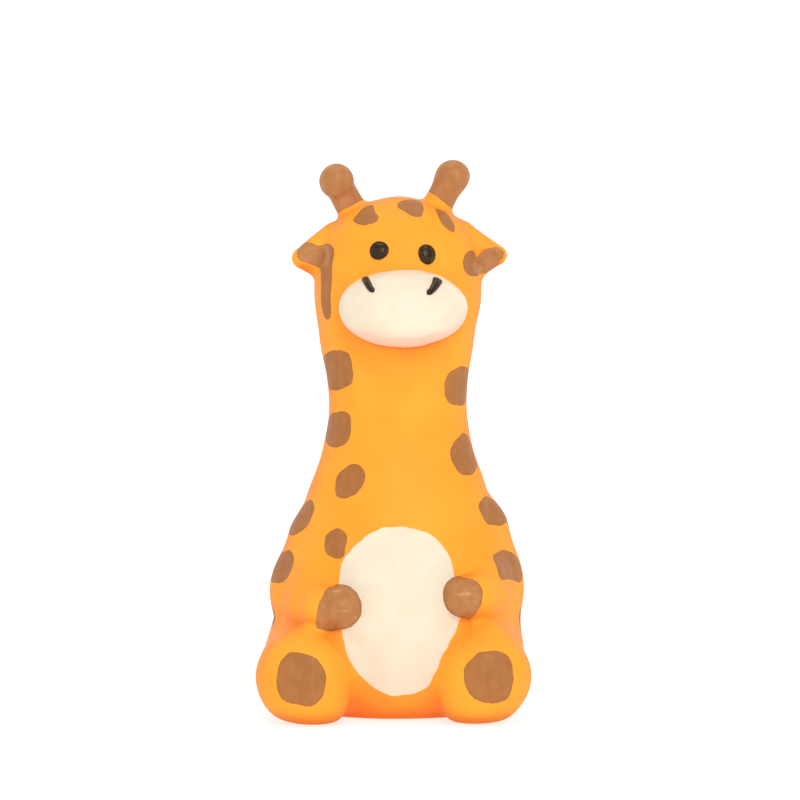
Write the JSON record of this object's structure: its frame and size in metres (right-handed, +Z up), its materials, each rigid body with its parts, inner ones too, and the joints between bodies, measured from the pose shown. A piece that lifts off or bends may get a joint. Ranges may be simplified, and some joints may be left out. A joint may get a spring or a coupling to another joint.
{
  "type": "squeaky dog toy",
  "caption": "Seated cartoon giraffe cast hollow in painted latex, with a reed squeaker pressed into its flat base; squeezing the back blows air through the reed.",
  "frame": {"origin": "centre of the footprint's bounding box, on the surface that the toy sits on", "axes": "+Z up along the neck, -Y the way the face and the soles look, +X to the right in the front view"},
  "size_m": [0.0782, 0.0727, 0.1596],
  "materials": {
    "latex": "painted natural latex, orange with brown patches and a cream belly and muzzle, satin",
    "squeaker_plastic": "moulded polyethylene, off-white, slightly waxy",
    "reed_unit_plastic": "moulded polystyrene, pale grey",
    "reed_film": "thin stiff film, smooth"
  },
  "bodies": {
    "body": {"latex_body": "latex", "squeaker_plug": "squeaker_plastic", "reed_tube": "reed_unit_plastic", "tone_board": "reed_unit_plastic", "reed_wedge": "reed_unit_plastic"},
    "head": {"latex_head": "latex"},
    "back_wall": {"back_wall": "latex"},
    "reed": {"reed": "reed_film"}
  },
  "joints": [
    {"name": "neck_bend", "type": "hinge", "parent": "body", "child": "head", "pos_m": [0.0021, 0.00285, 0.088], "axis": [1, 0, 0], "range_deg": [-12, 12], "stiffness_Nm_per_rad": 1.8},
    {"name": "squeeze", "type": "slide", "parent": "body", "child": "back_wall", "axis": [0, -1, 0], "range_m": [0, 0.008], "stiffness_N_per_m": 1200},
    {"name": "reed_flutter", "type": "hinge", "parent": "body", "child": "reed", "pos_m": [0.0021, 0.00245, 0.006], "axis": [1, 0, 0], "range_deg": [-1, 5], "stiffness_Nm_per_rad": 0.002}
  ]
}
